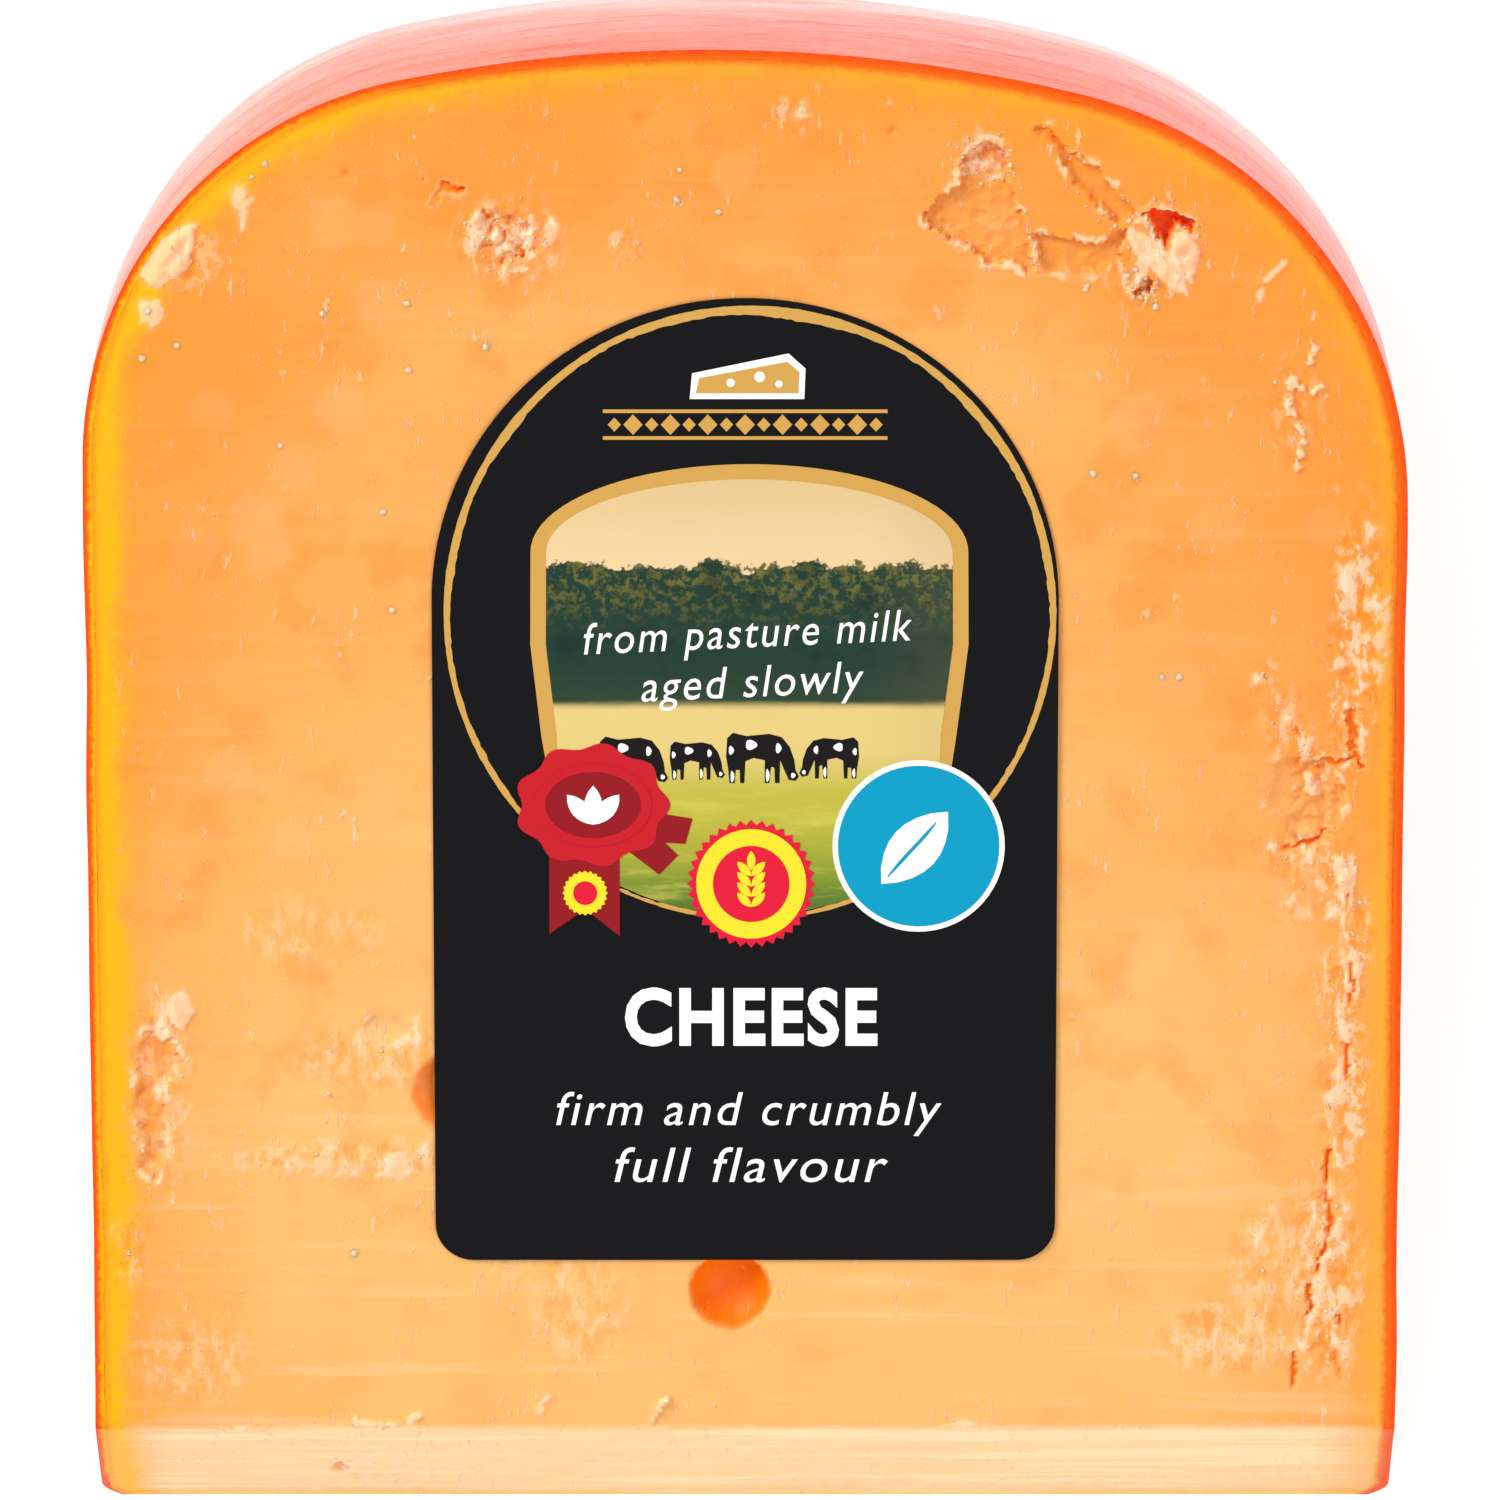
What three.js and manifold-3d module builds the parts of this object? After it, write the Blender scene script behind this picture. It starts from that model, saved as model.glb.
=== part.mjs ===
// A wedge of aged yellow cheese, cut from a coated wheel, with a stuck-on label.
// Millimetres, +Z up. It lies on one cut face, and +Y points from its cut tip to the wheel's rim.
// The wheel's axis runs along X, and both cut faces are planes through that axis.

import * as THREE from 'three';
import { mergeVertices } from 'three/addons/utils/BufferGeometryUtils.js';
import Module from 'manifold-3d';

const wasm = await Module();
wasm.setup();

// The wheel
const wheelRadius = 174;
const wheelThickness = 110;
const crownRadius = 127; // the rim's curve from side to side
const crownOffset = -3; // its highest line lies a little left of the middle
const leftShoulderRadius = 33;
const rightShoulderRadius = 36;

// The cut
const wedgeAngle = THREE.MathUtils.degToRad(16.5);
const tipRearRadius = 46; // from the wheel's axis to the tip, on the face that it lies on
const tipFrontRadius = 54; // the same on the upper face

// The coat round the rim and down both sides
const coatThickness = 0.8;
const coatGap = 0.3;

// The label on the upper face
const labelWidth = 52.2;
const labelHeight = 83.8;
const labelThickness = 0.3;
const labelCornerRadius = 3.2;
const labelGap = 0.3;
const labelOffset = -3; // from the middle of the face, towards the tip

// Round eyes that the cut has opened in the upper face
const tipEyes = [
  { across: -1.3, fromTip: 12.3, radius: 3.5, depth: 3 },
  { across: -24.4, fromTip: 29.9, radius: 3.3, depth: 2.6 },
];
const rimEyes = [
  { across: 35, fromRim: 15, radius: 2.1, depth: 1.9 },
  { across: 33, fromRim: 20, radius: 0.9, depth: 0.8 },
];

// Fineness of the curves, and how far a cutting tool runs past what it cuts
const wheelSegments = 180;
const crownSegments = 20;
const shoulderSegments = 12;
const eyeSegments = 20;
const labelSegments = 24;
const cutMargin = 20;

const frontFace = new THREE.Matrix4().makeRotationX(wedgeAngle);

function toSolid(geometry) {
  geometry.deleteAttribute('normal');
  geometry.deleteAttribute('uv');
  const merged = mergeVertices(geometry);
  const vertProperties = merged.attributes.position.array;
  const triVerts = merged.index.array;
  return new wasm.Manifold(new wasm.Mesh({ numProp: 3, vertProperties, triVerts }));
}

function toGeometry(solid) {
  const { vertProperties, triVerts } = solid.getMesh();
  const geometry = new THREE.BufferGeometry();
  geometry.setAttribute('position', new THREE.BufferAttribute(vertProperties, 3));
  geometry.setIndex(new THREE.BufferAttribute(triVerts, 1));
  return geometry;
}

function arc(centre, radius, from, to, segments) {
  return new THREE.EllipseCurve(centre.x, centre.y, radius, radius, from, to, true).getPoints(segments);
}

// A wheel whose surface lies inset mm inside the real one: flat sides, two shoulders and a crown
function wheel(inset) {
  const side = wheelThickness / 2 - inset;
  const crown = crownRadius - inset;
  const leftRadius = leftShoulderRadius - inset;
  const rightRadius = rightShoulderRadius - inset;
  const centre = new THREE.Vector2(crownOffset, wheelRadius - crownRadius);
  const shoulderCentre = (across, radius) => {
    const rise = Math.sqrt((crown - radius) ** 2 - (across - centre.x) ** 2);
    return new THREE.Vector2(across, centre.y + rise);
  };
  const left = shoulderCentre(leftRadius - side, leftRadius);
  const right = shoulderCentre(side - rightRadius, rightRadius);
  const leftEnd = left.clone().sub(centre).angle();
  const rightEnd = right.clone().sub(centre).angle();
  const outline = [
    new THREE.Vector2(-side, 0),
    ...arc(left, leftRadius, Math.PI, leftEnd, shoulderSegments),
    ...arc(centre, crown, leftEnd, rightEnd, crownSegments).slice(1, -1),
    ...arc(right, rightRadius, rightEnd, 0, shoulderSegments),
    new THREE.Vector2(side, 0),
  ];
  const profile = outline.map((point) => new THREE.Vector2(point.y, point.x));
  const halfStep = Math.PI / wheelSegments; // so that both cuts run through flats, not along edges
  const geometry = new THREE.LatheGeometry(profile, wheelSegments, halfStep);
  return toSolid(geometry.rotateZ(-Math.PI / 2));
}

// The sector that the cheesemonger's wire leaves, as a prism along the wheel's axis
function wedgeSector() {
  const reach = wheelRadius + cutMargin;
  const along = (radius) => [radius * Math.cos(wedgeAngle), radius * Math.sin(wedgeAngle)];
  const shape = new THREE.Shape();
  shape.moveTo(tipRearRadius, 0);
  shape.lineTo(reach, 0);
  shape.lineTo(...along(reach));
  shape.lineTo(...along(tipFrontRadius));
  shape.closePath();
  const depth = wheelThickness + 2 * cutMargin;
  const geometry = new THREE.ExtrudeGeometry(shape, { depth, bevelEnabled: false });
  geometry.translate(0, 0, -depth / 2);
  const x = new THREE.Vector3(1, 0, 0);
  const y = new THREE.Vector3(0, 1, 0);
  const z = new THREE.Vector3(0, 0, 1);
  return toSolid(geometry.applyMatrix4(new THREE.Matrix4().makeBasis(y, z, x)));
}

// A cap of a sphere, as wide as the eye on the face and as deep as the eye
function eye(across, fromAxis, radius, depth) {
  const sphereRadius = (radius ** 2 + depth ** 2) / (2 * depth);
  const geometry = new THREE.SphereGeometry(sphereRadius, eyeSegments, eyeSegments / 2);
  geometry.translate(across, fromAxis, sphereRadius - depth);
  return toSolid(geometry.applyMatrix4(frontFace));
}

function cheesePaste(sector) {
  let solid = wheel(coatThickness + coatGap).intersect(sector);
  for (const { across, fromTip, radius, depth } of tipEyes) {
    solid = solid.subtract(eye(across, tipFrontRadius + fromTip, radius, depth));
  }
  for (const { across, fromRim, radius, depth } of rimEyes) {
    solid = solid.subtract(eye(across, wheelRadius - fromRim, radius, depth));
  }
  return toGeometry(solid);
}

function rindCoat(sector) {
  return toGeometry(wheel(0).subtract(wheel(coatThickness)).intersect(sector));
}

// An arched plate: a half-round top and two small round corners at the bottom
function labelPlate() {
  const half = labelWidth / 2;
  const corner = labelCornerRadius;
  const shape = new THREE.Shape();
  shape.moveTo(corner - half, 0);
  shape.lineTo(half - corner, 0);
  shape.absarc(half - corner, corner, corner, -Math.PI / 2, 0);
  shape.absarc(0, labelHeight - half, half, 0, Math.PI);
  shape.absarc(corner - half, corner, corner, Math.PI, 1.5 * Math.PI);
  return new THREE.ExtrudeGeometry(shape, {
    depth: labelThickness,
    bevelEnabled: false,
    curveSegments: labelSegments,
  });
}

function part(name, geometry, color, roughness) {
  const material = new THREE.MeshStandardMaterial({ color, roughness, metalness: 0, flatShading: true });
  const mesh = new THREE.Mesh(geometry, material);
  mesh.name = name;
  return mesh;
}

const sector = wedgeSector();
const label = part('front_label', labelPlate(), 0x1a181c, 0.45);
const faceMiddle = (tipFrontRadius + wheelRadius) / 2 + labelOffset;
label.position.set(0, faceMiddle - labelHeight / 2, labelGap);

const upperFace = new THREE.Group();
upperFace.applyMatrix4(frontFace);
upperFace.add(label);

const wedge = new THREE.Group();
wedge.add(part('cheese_paste', cheesePaste(sector), 0xf7a850, 0.55));
wedge.add(part('rind_coat', rindCoat(sector), 0xe8501c, 0.3));
wedge.add(upperFace);
const nearEdge = Math.min(tipRearRadius, tipFrontRadius * Math.cos(wedgeAngle));
wedge.position.y = -(nearEdge + wheelRadius) / 2;

export default wedge;
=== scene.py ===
import math
import random

import bmesh
import bpy
from mathutils import Matrix, Vector, noise


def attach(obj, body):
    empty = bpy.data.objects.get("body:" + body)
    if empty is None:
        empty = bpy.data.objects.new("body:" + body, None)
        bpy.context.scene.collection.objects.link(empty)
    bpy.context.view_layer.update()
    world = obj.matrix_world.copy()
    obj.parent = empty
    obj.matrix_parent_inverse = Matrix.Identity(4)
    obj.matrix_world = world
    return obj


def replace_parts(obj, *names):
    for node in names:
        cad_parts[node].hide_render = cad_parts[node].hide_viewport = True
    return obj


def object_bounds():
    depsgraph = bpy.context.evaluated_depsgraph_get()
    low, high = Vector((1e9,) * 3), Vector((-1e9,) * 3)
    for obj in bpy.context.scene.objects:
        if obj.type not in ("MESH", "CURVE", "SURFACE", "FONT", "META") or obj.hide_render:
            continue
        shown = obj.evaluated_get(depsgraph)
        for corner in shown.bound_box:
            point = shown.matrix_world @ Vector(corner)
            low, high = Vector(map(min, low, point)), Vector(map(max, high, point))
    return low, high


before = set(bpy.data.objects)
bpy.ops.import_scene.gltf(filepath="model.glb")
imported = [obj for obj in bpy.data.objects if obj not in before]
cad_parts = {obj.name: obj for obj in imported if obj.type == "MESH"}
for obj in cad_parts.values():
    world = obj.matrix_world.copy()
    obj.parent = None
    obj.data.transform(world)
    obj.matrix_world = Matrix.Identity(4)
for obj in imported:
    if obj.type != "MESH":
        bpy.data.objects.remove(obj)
cadLow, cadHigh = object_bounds()
mm = 0.001
sharpAngle = math.radians(55)

# The wheel that the wedge was cut from. These are the CAD's own driving sizes
wheel = {
    "radius": 174 * mm,
    "crownRadius": 127 * mm,
    "crownOffset": -3 * mm,
    "leftShoulder": 33 * mm,
    "rightShoulder": 36 * mm,
    "cutAngle": math.radians(16.5),
    "tipFront": 54 * mm,
    "tipRear": 46 * mm,
    "coatThickness": 0.8 * mm,
}
halfWidth = cadHigh.x
axisY = cadLow.y - wheel["tipRear"]  # the wheel's axis runs along X at this y and at z 0
faceTurn = Matrix.Translation((0, axisY, 0)) @ Matrix.Rotation(wheel["cutAngle"], 4, "X")


class Wire:
    # a socket that can be used in sums: each sum adds its Math node
    def __init__(self, paint, socket):
        self.paint = paint
        self.socket = socket

    def maths(self, operation, *others):
        values = {0: self}
        for place, other in enumerate(others):
            values[place + 1] = other
        return self.paint.add("ShaderNodeMath", {"operation": operation}, values)

    def __add__(self, other):
        return self.maths("ADD", other)

    def __radd__(self, other):
        return self.maths("ADD", other)

    def __sub__(self, other):
        return self.maths("SUBTRACT", other)

    def __rsub__(self, other):
        return self.maths("MULTIPLY", -1).maths("ADD", other)

    def __mul__(self, other):
        return self.maths("MULTIPLY", other)

    def __rmul__(self, other):
        return self.maths("MULTIPLY", other)

    def clamp(self):
        return self.paint.add("ShaderNodeClamp", {}, {"Value": self})

    def step(self, low, high):
        # 0 below low, 1 above high, smooth between
        settings = {"interpolation_type": "SMOOTHSTEP"}
        values = {"Value": self, "From Min": low, "From Max": high}
        return self.paint.add("ShaderNodeMapRange", settings, values)


class Paint:
    # a material and its nodes
    def __init__(self, name):
        self.material = bpy.data.materials.new(name)
        self.material.use_nodes = True
        self.tree = self.material.node_tree
        self.tree.nodes.clear()
        self.places = None

    def add(self, kind, settings, values, output=0):
        # settings are the node's own, values go to its inputs
        node = self.tree.nodes.new(kind)
        for name, setting in settings.items():
            setattr(node, name, setting)
        for name, value in values.items():
            socket = node.inputs[name]
            if isinstance(value, Wire):
                self.tree.links.new(value.socket, socket)
            elif socket.type == "RGBA" and len(value) == 3:
                socket.default_value = (*value, 1)
            else:
                socket.default_value = value
        return Wire(self, node.outputs[output]) if node.outputs else None

    def place(self):
        # the point on the piece, in metres in the object's own frame
        if self.places is None:
            self.places = self.add("ShaderNodeTexCoord", {}, {}, "Object")
        return self.places

    def axis(self, name):
        return self.add("ShaderNodeSeparateXYZ", {}, {"Vector": self.place()}, name)

    def faceAxis(self, name):
        # across and up the cut face, from the wheel's axis
        turned = self.mapped(turn=(-wheel["cutAngle"], 0, 0), shift=faceTurn.inverted().translation)
        return self.add("ShaderNodeSeparateXYZ", {}, {"Vector": turned}, name)

    def mapped(self, scale=(1, 1, 1), turn=(0, 0, 0), shift=(0, 0, 0)):
        values = {"Vector": self.place(), "Scale": scale, "Rotation": turn, "Location": shift}
        return self.add("ShaderNodeMapping", {}, values)

    def noise(self, size, detail=2.0, rough=0.5, warp=0.0, **mapping):
        # size is the distance between the pattern's humps, in metres
        values = {"Vector": self.mapped(**mapping) if mapping else self.place(), "Scale": 1 / size}
        values.update({"Detail": detail, "Roughness": rough, "Distortion": warp})
        return self.add("ShaderNodeTexNoise", {}, values)

    def attribute(self, name):
        return self.add("ShaderNodeAttribute", {"attribute_name": name}, {}, "Fac")

    def blend(self, share, first, second):
        # the first colour at share 0, the second at share 1
        return self.add("ShaderNodeMix", {"data_type": "RGBA"}, {0: share, 6: first, 7: second}, 2)

    def bump(self, height, distance, strength=1.0, normal=None):
        values = {"Height": height, "Distance": distance, "Strength": strength}
        if normal is not None:
            values["Normal"] = normal
        return self.add("ShaderNodeBump", {}, values)

    def finish(self, **values):
        sockets = {name.replace("_", " "): value for name, value in values.items()}
        shader = self.add("ShaderNodeBsdfPrincipled", {}, sockets)
        self.add("ShaderNodeOutputMaterial", {}, {"Surface": shader})
        return self.material


def tint(red, green, blue):
    # a colour given as it looks on screen, 0 to 255, in the linear values that a shader takes
    linear = []
    for channel in (red, green, blue):
        part = channel / 255
        linear.append(part / 12.92 if part <= 0.04045 else ((part + 0.055) / 1.055) ** 2.4)
    return tuple(linear)


def easeStep(value, low, high):
    # 0 below low, 1 above high, smooth between
    share = min(max((value - low) / (high - low), 0), 1)
    return share * share * (3 - 2 * share)


class WheelSection:
    # the outline of a cut through the wheel's axis, inset from the true one:
    # two flat sides, two shoulders and a crown, in distances across and from the axis
    def __init__(self, inset):
        self.side = halfWidth - inset
        self.crown = wheel["crownRadius"] - inset
        self.leftRadius = wheel["leftShoulder"] - inset
        self.rightRadius = wheel["rightShoulder"] - inset
        self.centre = Vector((wheel["crownOffset"], wheel["radius"] - wheel["crownRadius"]))
        self.left = self.shoulder(self.leftRadius - self.side, self.leftRadius)
        self.right = self.shoulder(self.side - self.rightRadius, self.rightRadius)
        self.leftEnd = math.atan2(*(self.left - self.centre).yx)
        self.rightEnd = math.atan2(*(self.right - self.centre).yx)

    def shoulder(self, across, radius):
        rise = math.sqrt((self.crown - radius) ** 2 - (across - self.centre.x) ** 2)
        return Vector((across, self.centre.y + rise))

    def arc(self, centre, radius, start, end, step):
        count = max(2, round(radius * abs(end - start) / step))
        angles = [start + (end - start) * i / count for i in range(count + 1)]
        return [centre + radius * Vector((math.cos(a), math.sin(a))) for a in angles]

    def points(self, low, step):
        # from the left side's foot, over the crown, to the right side's foot
        rises = max(2, round((self.left.y - low) / step))
        leftSide = [Vector((-self.side, low + (self.left.y - low) * i / rises)) for i in range(rises)]
        falls = max(2, round((self.right.y - low) / step))
        rightSide = [Vector((self.side, self.right.y + (low - self.right.y) * i / falls))
                     for i in range(1, falls + 1)]
        leftArc = self.arc(self.left, self.leftRadius, math.pi, self.leftEnd, step)
        crownArc = self.arc(self.centre, self.crown, self.leftEnd, self.rightEnd, step)
        rightArc = self.arc(self.right, self.rightRadius, self.rightEnd, 0, step)
        return leftSide + leftArc + crownArc[1:-1] + rightArc + rightSide

    def depth(self, across, fromAxis):
        # how far inside the outline a point is
        toLeft, toRight = self.side + across, self.side - across
        if fromAxis < min(self.left.y, self.right.y):
            return min(toLeft, toRight)
        turn = math.atan2(fromAxis - self.centre.y, across - self.centre.x)
        if turn > self.leftEnd:
            out = Vector((across, fromAxis)) - self.left
            return self.leftRadius - out.length if out.y > 0 else toLeft
        if turn < self.rightEnd:
            out = Vector((across, fromAxis)) - self.right
            return self.rightRadius - out.length if out.y > 0 else toRight
        return self.crown - math.hypot(across - self.centre.x, fromAxis - self.centre.y)


labelPoints = [faceTurn.inverted() @ v.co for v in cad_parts["front_label"].data.vertices]
labelHalf = max(p.x for p in labelPoints)
labelLow, labelHigh = min(p.y for p in labelPoints), max(p.y for p in labelPoints)
cosCut, sinCut = math.cos(wheel["cutAngle"]), math.sin(wheel["cutAngle"])
tipEdge = Vector((axisY + wheel["tipFront"] * cosCut, wheel["tipFront"] * sinCut))
tipFall = Vector((axisY + wheel["tipRear"], 0)) - tipEdge
tipLength = tipFall.length
tipFall.normalize()
tipOut = Vector((tipFall.y, -tipFall.x))  # out of the tip's cut
faceRise = Vector((cosCut, sinCut))
faceOut = Vector((-sinCut, cosCut))


def foldedPlace(along, edgeRadius):
    # a point and its outward direction, in y and z. along runs up the face from the wheel's axis,
    # and below the tip's edge it turns down the tip's own cut
    past = along - wheel["tipFront"]
    if past >= edgeRadius:
        return tipEdge + faceRise * past, faceOut
    if past <= -edgeRadius:
        return tipEdge - tipFall * past, tipOut
    share = (past + edgeRadius) / (2 * edgeRadius)
    low, high = tipEdge + tipFall * edgeRadius, tipEdge + faceRise * edgeRadius
    spot = low * (1 - share) ** 2 + tipEdge * 2 * share * (1 - share) + high * share ** 2
    return spot, tipOut.lerp(faceOut, share).normalized()


def newMesh(name, bm):
    mesh = bpy.data.meshes.new(name)
    bm.to_mesh(mesh)
    bm.free()
    return mesh


def newObject(name, data):
    thing = bpy.data.objects.new(name, data)
    bpy.context.scene.collection.objects.link(thing)
    return thing


def mergeInto(target, bm):
    # adds the second mesh to the first
    mesh = newMesh("merged", bm)
    target.from_mesh(mesh)
    bpy.data.meshes.remove(mesh)


def only(kind, items):
    return [item for item in items if isinstance(item, kind)]


def newPiece(name, bm, materials, smooth=True):
    mesh = newMesh(name, bm)
    for material in materials:
        mesh.materials.append(material)
    if smooth:
        mesh.shade_smooth()
        mesh.set_sharp_from_angle(angle=sharpAngle)
    else:
        mesh.shade_flat()
    piece = newObject(name, mesh)
    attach(piece, "root")
    return piece


# The cheese. All the marks on its cut face are in mm: across from the middle, and from the wheel's axis
cheese = {
    "grid": 0.6 * mm,
    "lap": 0.05 * mm,  # how far it runs into the coat
    "edgeRadius": 0.5 * mm,  # the tip's worn edge
    "wallSteps": 5,
    "seed": 11.0,
    "waves": 0.12,  # the heights of its humps, in mm
    "grain": 0.03,
    "rubble": 0.26,
    "lip": 0.1,  # the raised edge of a tear
    "crumbs": 420,  # with the crystals. Their radii and their scatter are in mm
    "crumbSize": (0.07, 0.2),
    "crystalSize": (0.42, 0.58),
    "scatter": 0.35,
    "body": tint(242, 150, 58),
    "light": tint(244, 183, 106),
    "warm": tint(242, 136, 40),
    "underRind": tint(250, 176, 0),
    "rindLine": tint(246, 108, 0),
    "pale": tint(255, 214, 170),
    "tipPale": tint(255, 220, 168),
    "crumb": tint(255, 208, 170),
    # painted shade between the crumbs
    "gapShade": tint(246, 132, 30),
    # painted shade in the eyes, cracks and torn floors: a deeper orange, and a darker one for the deepest
    # hole
    "deep": tint(255, 122, 0),
    "dark": tint(255, 84, 0),
    # the white crystals, and the painted highlight on the tip's edge
    "crystalAndHighlight": tint(255, 208, 158),
    "glow": tint(252, 150, 16),
}

# Round eyes that the cut has opened: place, radius, depth, share of the painted shade in the hollow
eyes = [
    (-1.3, 66.3, 3.4, 2.6, 1.0),
    (-24.6, 83.9, 3.4, 0.8, 0.85),
    (-32.9, 163.8, 0.5, 0.4, 0.5),
    (12.1, 167.3, 0.45, 0.35, 0.5),
    (-8.7, 168.2, 0.4, 0.3, 0.6),
]

# Torn places: an outline, how deep it goes, how soft its edge is, how rough its floor is, how pale it is,
# and its shares of painted shade on its floor, in the deeper and the darker orange
tears = [
    {"outline": [(14.5, 160.3), (17.2, 162.4), (18.2, 165.6), (20.2, 166.2), (22.0, 164.7),
                 (21.9, 162.6), (22.5, 160.9), (23.3, 158.8), (23.6, 157.4), (24.1, 155.6),
                 (23.4, 154.7), (22.1, 155.9), (20.2, 155.6), (18.4, 157.2), (15.4, 158.7)],
     "depth": 0.7, "soft": 0.3, "rough": 0.22, "pale": 0.02, "deep": 0.04},
    {"outline": [(17.6, 166.0), (20.6, 166.6), (22.2, 164.9), (21.6, 163.2), (19.5, 162.9), (18.0, 163.6)],
     "depth": 0.2, "soft": 0.5, "rough": 0.3, "pale": 0.3, "deep": 0.1},
    {"outline": [(23.6, 167.3), (25.9, 164.8), (27.0, 162.6), (28.7, 160.9), (30.9, 159.1),
                 (33.0, 159.7), (31.0, 161.8), (29.5, 163.8), (27.0, 165.6), (24.4, 167.9)],
     "depth": 0.7, "soft": 0.6, "rough": 0.2, "pale": 0.02, "deep": 0.03},
    {"outline": [(23.6, 158.7), (27.0, 158.1), (29.3, 157.7), (31.0, 159.0), (31.9, 158.8),
                 (31.0, 155.9), (28.2, 154.6), (24.8, 155.1), (23.8, 156.8)],
     "depth": 0.7, "soft": 0.5, "rough": 0.2, "pale": 0.0, "deep": 0.03},
    {"outline": [(32.7, 160.0), (33.8, 160.8), (35.1, 160.6), (36.4, 159.8), (37.5, 159.2),
                 (36.8, 158.4), (35.8, 159.0), (35.3, 158.0), (34.7, 157.0), (33.8, 158.6)],
     "depth": 1.6, "soft": 0.4, "rough": 0.3, "pale": 0.0, "deep": 1.0, "dark": 1.0},
    {"outline": [(31.8, 153.7), (33.0, 154.6), (34.0, 154.2), (33.7, 153.2), (32.5, 152.8)],
     "depth": 0.9, "soft": 0.4, "rough": 0.3, "pale": 0.0, "deep": 0.9},
    {"outline": [(-22.6, 159.6), (-20.8, 160.6), (-18.2, 160.2), (-16.4, 158.0), (-17.2, 155.6),
                 (-19.8, 155.2), (-22.0, 156.8)],
     "depth": 0.3, "soft": 0.9, "rough": 0.8, "pale": 0.35},
    {"outline": [(-49.6, 90.8), (-48.2, 88.6), (-46.8, 86.4), (-48.8, 84.0), (-47.8, 80.4), (-49.0, 77.4),
                 (-49.5, 75.4), (-51.2, 77.0), (-51.6, 83.0), (-51.2, 88.0)],
     "depth": 0.4, "soft": 0.7, "rough": 0.4, "pale": 0.05, "deep": 0.25},
    {"outline": [(43.4, 109.0), (46.6, 105.0), (49.4, 106.0), (50.6, 110.0), (48.6, 113.0), (44.2, 113.4)],
     "depth": 0.35, "soft": 0.6, "rough": 0.4, "pale": 0.1},
    {"outline": [(-35.6, 44.4), (-34.6, 46.0), (-33.8, 44.8), (-34.2, 43.2), (-35.0, 43.4)],
     "depth": 0.35, "soft": 0.4, "rough": 0.15, "pale": 0.0, "deep": 0.5},
    {"outline": [(-33.2, 89.6), (-31.0, 91.0), (-27.8, 90.6), (-27.4, 88.6), (-30.6, 87.8)],
     "depth": 0.3, "soft": 0.5, "rough": 0.3, "pale": 0.05},
]

# Cracks: a line of places, half its width and its depth
cracks = [
    ([(-25.7, 161.0), (-24.9, 162.5), (-23.5, 162.1)], 0.22, 0.6),
    ([(-26.8, 163.5), (-26.3, 163.0)], 0.12, 0.3),
    ([(-21.5, 160.3), (-20.5, 159.1), (-19.6, 158.0), (-18.3, 156.5)], 0.16, 0.4),
    ([(50.4, 117.3), (50.7, 115.8), (50.6, 114.0)], 0.3, 0.5),
    ([(47.4, 114.1), (47.8, 113.4), (47.6, 112.5), (47.8, 111.4), (47.7, 110.8)], 0.2, 0.5),
    ([(48.0, 113.0), (49.5, 112.8), (50.4, 113.2), (51.2, 113.5), (51.6, 112.5)], 0.17, 0.4),
    ([(45.1, 117.9), (45.4, 116.8), (45.7, 115.8), (46.3, 115.0)], 0.15, 0.35),
    ([(44.7, 105.2), (46.1, 105.3), (47.1, 105.8), (48.6, 106.7)], 0.15, 0.35),
    ([(50.2, 101.2), (50.3, 99.3)], 0.28, 0.5),
    ([(50.8, 95.3), (50.9, 93.5), (50.7, 91.9)], 0.17, 0.4),
    ([(50.5, 88.1), (50.4, 85.2)], 0.25, 0.45),
    ([(49.0, 78.6), (48.8, 75.0), (49.4, 73.0), (49.0, 70.4), (48.4, 68.4), (47.6, 67.2),
      (47.8, 64.8), (47.0, 63.4), (46.8, 62.0)], 0.2, 0.5),
    ([(50.2, 64.0), (49.9, 61.2), (50.1, 58.0)], 0.2, 0.5),
    ([(46.2, 60.6), (46.4, 58.2)], 0.18, 0.4),
]

# Thin curls that stand up like a thread: a line of places, half its width and its height
curls = [
    ([(48.0, 145.3), (46.8, 145.0), (45.2, 145.7), (44.9, 144.2), (45.0, 143.2), (45.7, 142.3),
      (46.2, 141.6)], 0.3, 0.35),
    ([(46.1, 140.3), (46.3, 139.6), (45.6, 138.4)], 0.32, 0.3),
    ([(47.0, 149.1), (47.1, 148.4), (46.6, 147.5)], 0.3, 0.3),
    ([(44.4, 155.9), (43.4, 154.5), (42.2, 154.2), (42.6, 153.1)], 0.25, 0.25),
    ([(-8.4, 54.6), (-7.4, 55.6), (-6.6, 56.8)], 0.3, 0.5),
    ([(-33.0, 54.6), (-29.8, 54.2), (-27.6, 54.9)], 0.3, 0.35),
    ([(-44.2, 54.2), (-41.4, 53.6), (-40.0, 52.2)], 0.28, 0.3),
    ([(-17.4, 55.6), (-16.8, 57.0)], 0.3, 0.3),
    ([(16.0, 54.2), (19.4, 54.5), (21.0, 54.2)], 0.25, 0.3),
]

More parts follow.
